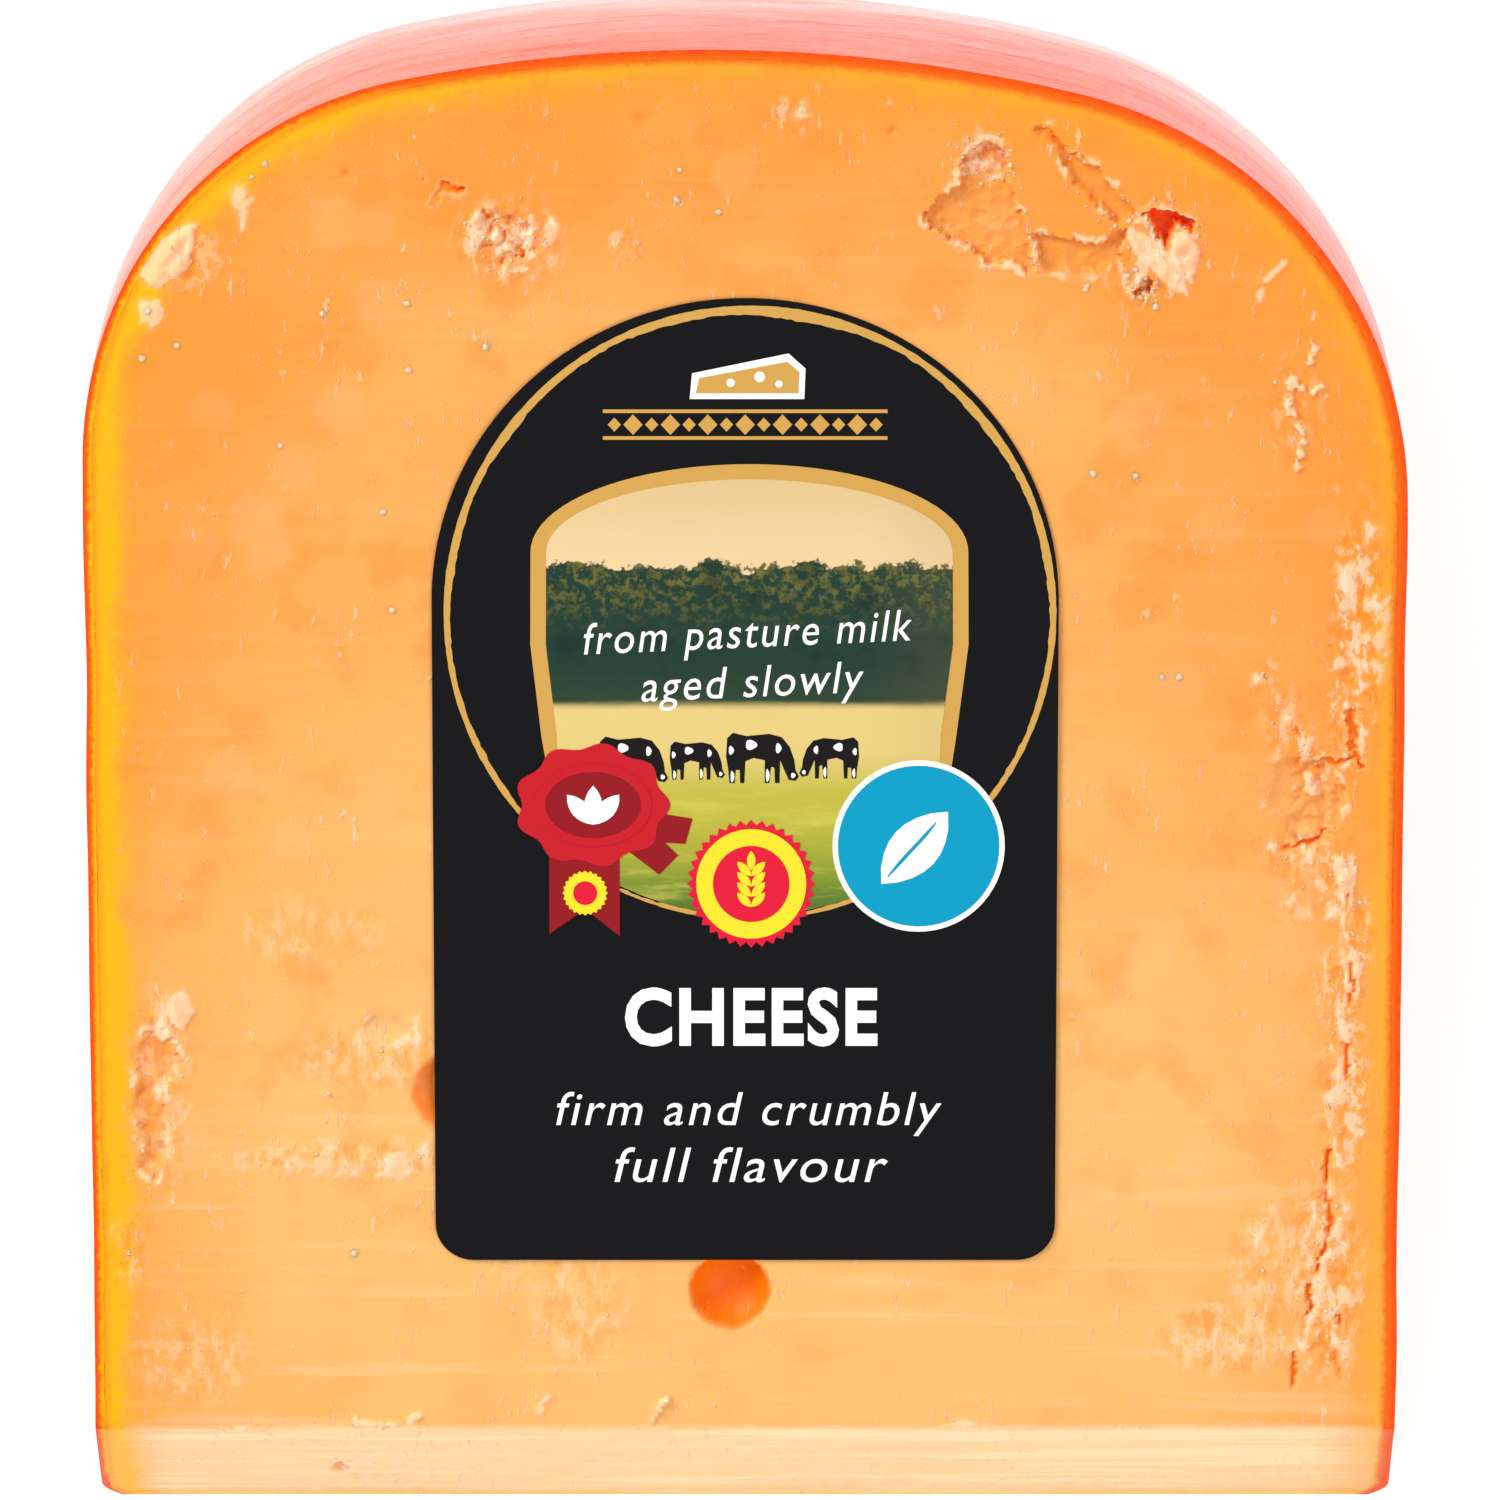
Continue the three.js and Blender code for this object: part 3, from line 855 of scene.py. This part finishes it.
def coatPaint():
    paint = Paint("coatSkin")
    # streaks lie along the rim, as the coat was brushed on
    streaks = paint.noise(5 * mm, detail=6, rough=0.62, warp=0.3, scale=(0.3, 0.3, 1))
    wrinkle = paint.noise(2.4 * mm, detail=5, rough=0.6, warp=0.4, scale=(0.14, 0.5, 1))
    dimple = paint.noise(0.7 * mm, detail=3)
    colour = paint.blend(paint.noise(12 * mm, detail=4), coat["orange"], coat["red"])
    # painted glare: pale streaks over the coat, more towards the top of the rim and most towards its rear
    rim = (paint.axis("Y") * (1 / mm)).step(-20, 50) * 0.8 + 0.2
    back = (paint.axis("Z") * (1 / mm)).step(48, 8)
    paintedGlare = streaks.step(0.4, 0.62) * rim
    colour = paint.blend(paintedGlare * (coat["paintedGlare"] + back * coat["paintedGlare"]), colour, coat["paintedGlareColour"])
    # painted shade: a darker red in the hollows of the streaks and the wrinkles
    colour = paint.blend((streaks.step(0.44, 0.34) + wrinkle.step(0.42, 0.34)) * 0.35, colour, coat["creaseShade"])
    gloss = (paintedGlare * 0.4 + 0.45) * (1 - coat["gloss"] + back * coat["gloss"])
    normal = paint.bump(dimple, 0.06 * mm, 0.5)
    normal = paint.bump(wrinkle, 0.4 * mm, 0.8, normal=normal)
    normal = paint.bump(streaks, 0.9 * mm, 0.8, normal=normal)
    return paint.finish(Base_Color=colour, Roughness=0.22 + dimple * 0.2, Normal=normal,
                        Specular_IOR_Level=0.2, Coat_Weight=gloss, Coat_Roughness=0.15)


def coatCutPaint():
    paint = Paint("coatCut")
    grain = paint.noise(0.6 * mm, detail=3)
    inner = (paint.attribute("depth") + (grain - 0.5) * 0.8).step(0.2, 0.75)
    leftSide = (paint.axis("X") * (-1 / mm)).step(20, 45)
    colour = paint.blend(grain.step(0.4, 0.65), coat["orange"], coat["cutRed"])
    colour = paint.blend(inner * 0.8, colour, coat["cutOrange"])
    colour = paint.blend(inner * leftSide * 0.9, colour, cheese["underRind"])
    normal = paint.bump(grain, 0.05 * mm, 0.4)
    return paint.finish(Base_Color=colour, Roughness=0.5, Normal=normal, Specular_IOR_Level=0.15)


print("coat")
coatPiece = newPiece("coat", buildCoat(), [coatPaint(), coatCutPaint()])
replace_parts(coatPiece, "rind_coat")


# The label: the base plate is cut to the CAD label's own outline. Its print is thin raised plates.
# Places on it are in mm: across from its middle, and up from its foot
label = {
    "cornerRadius": 3.2 * mm,
    "thickness": 0.18 * mm,
    "lift": 0.06 * mm,  # above the cheese's mean height
    "printStep": 0.02 * mm,  # each layer of print is this much higher than the one below
    "archSteps": 96,
    "seed": 5,
    "black": tint(12, 10, 14),
    "gold": tint(206, 158, 78),
    "white": tint(250, 249, 246),
    "sealRed": tint(196, 28, 40),
    "ribbonRed": tint(146, 22, 30),
    "rosetteRed": tint(222, 26, 56),
    "yellow": tint(255, 220, 44),
    "blue": tint(0, 152, 190),
    "hide": tint(22, 17, 18),
    # middles of the round shapes, and how much taller than wide they are
    "stretch": 1.04,
    "seal": (-12.7, 40.1),
    "button": (-13.4, 32.4),
    "rosette": (0.5, 33.2),
    "badge": (14.5, 36.5),
    "emblem": (0.1, 75.2),
    # generic words: the middle of the foot, width, height, print level, lean, and turn in degrees
    "words": [
        {"text": "CHEESE", "x": 0.5, "y": 18.9, "width": 21.2, "height": 5.2, "level": 1, "bold": 0.035},
        {"text": "from pasture milk", "x": 0.3, "y": 52.9, "width": 27.4, "height": 3.6, "level": 4,
         "lean": 0.22, "turn": 2.6},
        {"text": "aged slowly", "x": 0.7, "y": 48.6, "width": 18.6, "height": 3.6, "level": 4,
         "lean": 0.22, "turn": 2.6},
        {"text": "firm and crumbly", "x": 0.3, "y": 11.0, "width": 32.4, "height": 3.9, "level": 1,
         "lean": 0.22},
        {"text": "full flavour", "x": 0.5, "y": 6.9, "width": 23.0, "height": 3.1, "level": 1,
         "lean": 0.22},
    ],
}
goldRing = {
    "middle": (0.4, 56.6),
    "radius": 25.5,
    "squash": 1.043,
    "width": 0.75,
    "thinnest": 0.16,
    "steps": 360,
}


def arcPoints(x, y, radius, start, end, steps, squash=1.0):
    # an arc in degrees
    turns = [math.radians(start + (end - start) * i / steps) for i in range(steps + 1)]
    return [(x + radius * math.cos(t), y + radius * squash * math.sin(t)) for t in turns]


def roundShape(x, y, radius, squash=1.0, petals=0, swell=0.0, steps=72):
    # a disc, or a scalloped or toothed one
    shape = []
    for i in range(steps):
        turn = 2 * math.pi * i / steps
        reach = radius * (1 + swell * math.cos(petals * turn))
        shape.append((x + reach * math.cos(turn), y + reach * squash * math.sin(turn)))
    return shape


def leafShape(x, y, length, width, turn):
    # a pointed leaf that starts at x, y
    shape = []
    for side in (1, -1):
        for i in range(8):
            share = i / 8 if side == 1 else 1 - i / 8
            along, out = share * length, side * width * math.sin(math.pi * share) ** 0.8
            shape.append((x + along * math.cos(turn) - out * math.sin(turn),
                          y + along * math.sin(turn) + out * math.cos(turn)))
    return shape


def shifted(shape, x, y, scale=1.0, flip=1):
    return [(x + px * scale * flip, y + py * scale) for px, py in shape]


def levelHeight(level):
    return label["lift"] + label["thickness"] + level * label["printStep"]


def footHeight(level):
    # a print's foot is inside the layer below
    return label["lift"] if level == 0 else levelHeight(level - 1) - 0.5 * label["printStep"]


def printEdges(bm, points, height, closed):
    verts = [bm.verts.new((x * mm, labelLow + y * mm, height)) for x, y in points]
    return [bm.edges.new(pair) for pair in zip(verts, verts[1:] + verts[:1] if closed else verts[1:])]


def raiseFaces(bm, faces, level):
    # closes a flat print into a plate that ends at its level's height
    made = bmesh.ops.extrude_face_region(bm, geom=faces)["geom"]
    rise = (0, 0, levelHeight(level) - footHeight(level))
    bmesh.ops.translate(bm, vec=rise, verts=only(bmesh.types.BMVert, made))


def addPlate(bm, outline, level):
    edges = printEdges(bm, outline, footHeight(level), True)
    raiseFaces(bm, bmesh.ops.contextual_create(bm, geom=edges)["faces"], level)


def addBand(bm, firstSide, secondSide, level, closed=False):
    # a band between two lines of points
    loops = []
    for side in (firstSide, secondSide):
        loops += printEdges(bm, side, footHeight(level), closed)
    raiseFaces(bm, bmesh.ops.bridge_loops(bm, edges=loops)["faces"], level)


def addStroke(bm, points, width, level):
    # a curved stroke through the points, with tapered ends
    line = []
    steps = 4
    for i in range(1, len(points) - 2):
        a, b, c, d = [Vector(p) for p in points[i - 1:i + 3]]
        for step in range(steps):
            t = step / steps
            line.append(0.5 * (2 * b + (c - a) * t + (2 * a - 5 * b + 4 * c - d) * t * t
                               + (3 * b - a - 3 * c + d) * t ** 3))
    left, right = [], []
    for i, spot in enumerate(line):
        run = (line[min(i + 1, len(line) - 1)] - line[max(i - 1, 0)]).normalized()
        taper = min(1, 0.35 + min(i, len(line) - 1 - i) / 4)
        out = Vector((-run.y, run.x)) * width / 2 * taper
        left.append(tuple(spot + out))
        right.append(tuple(spot - out))
    addBand(bm, left, right, level)


def labelPiece(name, bm, material):
    bmesh.ops.recalc_face_normals(bm, faces=bm.faces)
    bmesh.ops.transform(bm, matrix=faceTurn, verts=bm.verts)
    piece = newPiece(name, bm, [material], smooth=False)
    return piece


def printPaint(name, colour, roughness=0.5, worn=0.2):
    # worn is how far the ink goes darker and lighter in places
    paint = Paint(name)
    grain = paint.noise(0.35 * mm, detail=3)
    blot = paint.noise(4 * mm, detail=2)
    shade = paint.blend(grain * worn, colour, tuple(c * 0.72 for c in colour))
    shade = paint.blend(blot * worn, shade, tuple(min(1, c * 1.12) for c in colour))
    normal = paint.bump(grain, 0.01 * mm, 0.3)
    return paint.finish(Base_Color=shade, Roughness=roughness + blot * 0.1, Normal=normal,
                        Specular_IOR_Level=0.12)


# The picture's colours, from the sky down to the foot of the meadow
meadow = {
    "skyFoot": tint(228, 196, 146),
    "skyTop": tint(214, 184, 128),
    "cloud": tint(240, 214, 168),
    "leaves": tint(30, 58, 46),
    "litLeaves": tint(106, 104, 44),
    "darkLeaves": tint(18, 40, 36),
    "treeFoot": tint(60, 74, 46),
    "grass": tint(222, 196, 122),
    "straw": tint(186, 178, 62),
    "nearGrass": tint(116, 140, 40),
    "nearest": tint(52, 98, 44),
    "blades": tint(214, 202, 92),
    "shade": tint(120, 110, 70),
    "treeTop": 58.2,
    "horizon": 48.6,
}


def picturePaint():
    # a meadow before a line of trees, on the label's own up and across
    paint = Paint("printedMeadow")
    across, up = paint.faceAxis("X") * (1 / mm), (paint.faceAxis("Y") - labelLow) * (1 / mm)
    skyDrift = paint.noise(9 * mm, detail=3, scale=(0.4, 1, 1))
    sky = paint.blend(up.step(60, 69), meadow["skyFoot"], meadow["skyTop"])
    sky = paint.blend(skyDrift * 0.3, sky, meadow["cloud"])
    crowns = paint.noise(3.2 * mm, detail=4, rough=0.6)
    twigs = paint.noise(0.8 * mm, detail=3, rough=0.7)
    treeTop = meadow["treeTop"] + crowns * 4.4 + twigs * 0.9
    lit = (twigs.step(0.45, 0.65) * up.step(54, 60)).clamp()
    leaves = paint.blend(lit, meadow["leaves"], meadow["litLeaves"])
    leaves = paint.blend(crowns.step(0.5, 0.7) * 0.6, leaves, meadow["darkLeaves"])
    leaves = paint.blend(up.step(53, 49) * 0.35, leaves, meadow["treeFoot"])
    picture = paint.blend((treeTop - up).step(-0.15, 0.15), sky, leaves)
    grass = paint.noise(1.4 * mm, detail=4, rough=0.65, scale=(0.16, 1, 1))
    tufts = paint.noise(3.6 * mm, detail=3, scale=(0.3, 1, 1))
    field = paint.blend(up.step(45.5, 40.5), meadow["grass"], meadow["straw"])
    field = paint.blend((up.step(41, 31) + tufts * 0.5 - 0.3).clamp(), field, meadow["nearGrass"])
    field = paint.blend(up.step(35, 30) * 0.8, field, meadow["nearest"])
    field = paint.blend(grass.step(0.45, 0.72) * up.step(46, 38) * 0.5, field, meadow["blades"])
    far = (up + grass * 0.6).step(meadow["horizon"], meadow["horizon"] + 1)
    picture = paint.blend(far, field, picture)
    picture = paint.blend(across.step(9, 17) * 0.12, picture, meadow["shade"])
    normal = paint.bump(twigs, 0.008 * mm, 0.3)
    return paint.finish(Base_Color=picture, Roughness=0.5, Normal=normal, Specular_IOR_Level=0.12)


def windowShape(inset):
    # the picture's arch, with its foot on the gold ring
    x, y = goldRing["middle"]
    half, rise = 18.2 - inset, 7.6 - inset
    shape = arcPoints(0.35, 62, half, 0, 180, 40, rise / half)
    shape += [(0.3 - half, 54), (1.2 - half, 46)]
    shape += arcPoints(x, y, goldRing["radius"] - 0.4, 231, 309, 32, goldRing["squash"])
    return shape + [(half - 0.6, 46), (half + 0.4, 54)]


def ringSides():
    # a brushed ring: an even outer edge, and an inner one that frays
    x, y = goldRing["middle"]
    outer, inner = [], []
    for i in range(goldRing["steps"]):
        turn = 2 * math.pi * i / goldRing["steps"]
        drift = noise.noise(Vector((3 * math.cos(turn), 3 * math.sin(turn), label["seed"])))
        fray = noise.noise(Vector((40 * math.cos(turn), 40 * math.sin(turn), label["seed"])))
        width = goldRing["width"] * (0.72 + 0.3 * math.sin(turn) + 0.35 * drift + 0.18 * fray)
        width = max(width, goldRing["thinnest"])
        for side, reach in ((outer, goldRing["radius"] + 0.06 * fray), (inner, goldRing["radius"] - width)):
            side.append((x + reach * math.cos(turn), y + reach * goldRing["squash"] * math.sin(turn)))
    return outer, inner


# A grazing cow in mm: its outline, its white patches, and where each of the herd stands and faces
cow = {
    "body": [(0.3, 0), (0.75, 0), (0.85, 1.2), (1.2, 1.2), (1.25, 0), (1.6, 0), (1.7, 2.0), (2.4, 2.3),
             (3.4, 2.1), (3.4, 0), (3.8, 0), (3.95, 1.5), (4.25, 1.4), (4.3, 0), (4.7, 0), (4.75, 2.1),
             (5.2, 1.0), (5.5, 0.3), (6.1, 0.2), (6.4, 0.6), (6.1, 1.2), (6.0, 2.1), (5.6, 3.3), (4.9, 4.2),
             (3.8, 4.5), (1.8, 4.3), (0.6, 4.6), (0.1, 4.1), (0.0, 2.4), (0.2, 1.2)],
    "patches": [(2.2, 3.5, 0.5, 0.9), (4.6, 3.2, 0.25, 1.8), (0.45, 3.0, 0.22, 1.8), (0.55, 0.6, 0.16, 3.2),
                (3.65, 0.7, 0.16, 3.6), (5.9, 0.7, 0.2, 1.2)],
    "herd": [(-12.2, 41.9, 0.9, 1), (-6.3, 42.3, 0.72, 1), (-1.6, 42.0, 0.95, 1), (9.5, 42.4, 0.78, -1)],
}


def buildLabel():
    bm = bmesh.new()
    corner, half = label["cornerRadius"] / mm, labelHalf / mm
    archFoot = (labelHigh - labelLow - labelHalf) / mm
    outline = arcPoints(half - corner, corner, corner, -90, 0, 12)
    outline += arcPoints(0, archFoot, half, 0, 180, label["archSteps"])
    outline += arcPoints(corner - half, corner, corner, 180, 270, 12)
    addPlate(bm, outline, 0)
    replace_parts(labelPiece("label", bm, printPaint("labelBlack", label["black"])), "front_label")

    stretch = label["stretch"]
    gold = bmesh.new()
    addBand(gold, *ringSides(), 1, closed=True)
    addPlate(gold, windowShape(0), 1)
    wedge = [(-4.2, 0.5), (4.3, 0.5), (4.4, 2.3), (3.4, 3.2), (-3.9, 1.8)]
    addPlate(gold, shifted(wedge, *label["emblem"]), 2)
    for side in (71.7, 74.0):
        addPlate(gold, [(-11.8, side), (11.8, side), (11.8, side + 0.3), (-11.8, side + 0.3)], 1)
    for i in range(-7, 8):
        size = 0.55 if i % 2 else 0.8
        addPlate(gold, roundShape(i * 1.55, 73.0, size, squash=1.1, steps=4), 1)
    labelPiece("labelGold", gold, printPaint("labelGold", label["gold"]))

    picture = bmesh.new()
    addPlate(picture, windowShape(1.3), 2)
    labelPiece("labelPicture", picture, picturePaint())

    hide = bmesh.new()
    white = bmesh.new()
    for x, y, scale, flip in cow["herd"]:
        addPlate(hide, shifted(cow["body"], x, y, scale, flip), 3)
        for spotX, spotY, radius, squash in cow["patches"]:
            patch = roundShape(spotX, spotY, radius, squash, 3, 0.12, 14)
            addPlate(white, shifted(patch, x, y, scale, flip), 4)
    labelPiece("labelCows", hide, printPaint("cowHide", label["hide"], worn=0.5))

    rim = [(-4.7, 0.0), (4.8, 0.0), (4.9, 2.6), (3.5, 3.9), (-4.5, 2.2)]
    addPlate(white, shifted(rim, *label["emblem"]), 1)
    for x, y, radius in ((-1.2, 1.4, 0.35), (1.2, 1.9, 0.45), (2.8, 1.3, 0.3)):
        addPlate(white, roundShape(x, label["emblem"][1] + y, radius, steps=20), 3)
    addPlate(white, roundShape(*label["badge"], 7.2, stretch), 4)
    addPlate(white, leafShape(11.4, 33.2, 8.4, 2.1, 0.85), 6)
    for i in range(3):
        addPlate(white, leafShape(-12.7, 38.4, 3.4, 0.75, math.radians(50 + 40 * i)), 8 + i % 2)
    for word in label["words"]:
        addWord(white, **word)
    labelPiece("labelWhite", white, printPaint("labelWhite", label["white"], worn=0.06))

    red = bmesh.new()
    addPlate(red, roundShape(-12.8, 40.1, 6.2, 0.83, 9, 0.055, 108), 5)
    addBand(red, roundShape(*label["seal"], 4.9, 0.74), roundShape(*label["seal"], 4.0, 0.72), 7, closed=True)
    labelPiece("labelSeal", red, printPaint("sealRed", label["sealRed"], 0.35, 0.5))

    ribbon = bmesh.new()
    addPlate(ribbon, [(-16.4, 36.5), (-16.4, 28.8), (-13.4, 31.0), (-10.5, 28.6), (-10.5, 36.0)], 4)
    addPlate(ribbon, [(-8.6, 39.6), (-4.4, 38.9), (-5.0, 36.7), (-6.7, 36.8), (-5.6, 35.7), (-7.2, 34.0),
                      (-10.2, 36.4)], 4)
    addPlate(ribbon, roundShape(*label["seal"], 4.5, 0.73), 6)
    labelPiece("labelRibbon", ribbon, printPaint("ribbonRed", label["ribbonRed"], 0.4, 0.5))

    rosette = bmesh.new()
    addPlate(rosette, roundShape(*label["rosette"], 5.15, stretch, 36, 0.045, 144), 4)
    addPlate(rosette, roundShape(*label["rosette"], 3.2, stretch), 6)
    addPlate(rosette, roundShape(*label["button"], 1.0, stretch, steps=32), 6)
    labelPiece("labelRosette", rosette, printPaint("rosetteRed", label["rosetteRed"]))

    yellow = bmesh.new()
    addPlate(yellow, roundShape(*label["rosette"], 4.6, stretch), 5)
    addPlate(yellow, roundShape(*label["button"], 1.8, stretch, 24, 0.05, 96), 5)
    for i in range(4):
        for side in (1, -1):
            addPlate(yellow, leafShape(0.5, 31.2 + i * 0.9, 1.7, 0.36, math.pi / 2 - side * 0.75), 7)
    addPlate(yellow, leafShape(0.5, 34.4, 1.7, 0.36, math.pi / 2), 7)
    labelPiece("labelYellow", yellow, printPaint("labelYellow", label["yellow"]))

    blue = bmesh.new()
    addPlate(blue, roundShape(*label["badge"], 6.75, stretch), 5)
    vein = [(11.0, 32.6), (11.9, 33.8), (13.4, 35.6), (15.0, 37.4), (16.2, 38.9), (16.8, 39.8)]
    addStroke(blue, vein, 0.3, 7)
    labelPiece("labelBadge", blue, printPaint("badgeBlue", label["blue"]))


def addWord(bm, text, x, y, width, height, level, bold=0.0, lean=0.0, turn=0.0):
    # a line of words as raised plates, fitted to a width and a height
    letters = bpy.data.curves.new("word", "FONT")
    letters.body = text
    letters.resolution_u = 4
    letters.offset = bold
    letters.shear = lean
    letters.space_character = 1.12
    holder = bpy.data.objects.new("word", letters)
    flat = bpy.data.meshes.new_from_object(holder)
    bpy.data.objects.remove(holder)
    fresh = bmesh.new()
    fresh.from_mesh(flat)
    bmesh.ops.remove_doubles(fresh, verts=fresh.verts, dist=1e-4)
    left, right = min(v.co.x for v in fresh.verts), max(v.co.x for v in fresh.verts)
    foot, top = min(v.co.y for v in fresh.verts), max(v.co.y for v in fresh.verts)
    place = Matrix.Translation((x * mm, labelLow + y * mm, footHeight(level)))
    place = place @ Matrix.Rotation(math.radians(turn), 4, "Z")
    scale = Matrix.Diagonal((width * mm / (right - left), height * mm / (top - foot), 1, 1))
    centre = Matrix.Translation((-(left + right) / 2, -foot, 0))
    bmesh.ops.transform(fresh, matrix=place @ scale @ centre, verts=fresh.verts)
    raiseFaces(fresh, fresh.faces[:], level)
    mergeInto(bm, fresh)
    bpy.data.meshes.remove(flat)
    bpy.data.curves.remove(letters)


print("label")
buildLabel()


# The studio: a camera straight above, a pale floor and soft light
studio = {
    "distance": 1.239,
    "across": 0.4 * mm,
    "along": -0.8 * mm,
    "lens": 346.9,
    "floor": (0.86, 0.86, 0.86),
    "floorLight": (0.9, 0.9, 0.9),
    "floorGlow": 0.45,
    "surround": 0.6,
    # name, place, size in metres, power in watts
    "lamps": [("keyLight", (-0.8, 0.55, 0.75), 0.5, 13.5), ("fillLight", (0.7, -0.6, 0.9), 0.9, 5)],
}


def softbox(name, place, size, power):
    light = bpy.data.lights.new(name, "AREA")
    light.shape = "SQUARE"
    light.size = size
    light.energy = power
    lamp = newObject(name, light)
    lamp.location = place
    lamp.rotation_euler = (-Vector(place)).to_track_quat("-Z", "Y").to_euler()
    lamp.visible_camera = False


def buildStudio():
    view = newObject("camera", bpy.data.cameras.new("camera"))
    view.data.lens = studio["lens"]
    view.data.sensor_width = 36
    view.data.clip_start = 0.01
    view.data.clip_end = 50
    view.location = (studio["across"], studio["along"], studio["distance"])
    bpy.context.scene.camera = view

    floorMesh = bmesh.new()
    bmesh.ops.create_circle(floorMesh, cap_ends=True, segments=96, radius=12)
    floor = newObject("floor", newMesh("floor", floorMesh))
    paint = Paint("floor")
    shade = paint.blend(paint.noise(0.4, detail=2), studio["floor"], studio["floorLight"])
    floor.data.materials.append(paint.finish(Base_Color=shade, Roughness=0.7, Emission_Color=(1, 1, 1),
                                             Emission_Strength=studio["floorGlow"]))

    world = bpy.data.worlds.new("studio")
    bpy.context.scene.world = world
    world.use_nodes = True
    sky = world.node_tree.nodes["Background"]
    sky.inputs["Color"].default_value = (1, 1, 1, 1)
    sky.inputs["Strength"].default_value = studio["surround"]
    for lamp in studio["lamps"]:
        softbox(*lamp)


print("studio")
buildStudio()
bpy.context.scene.view_settings.view_transform = "Standard"
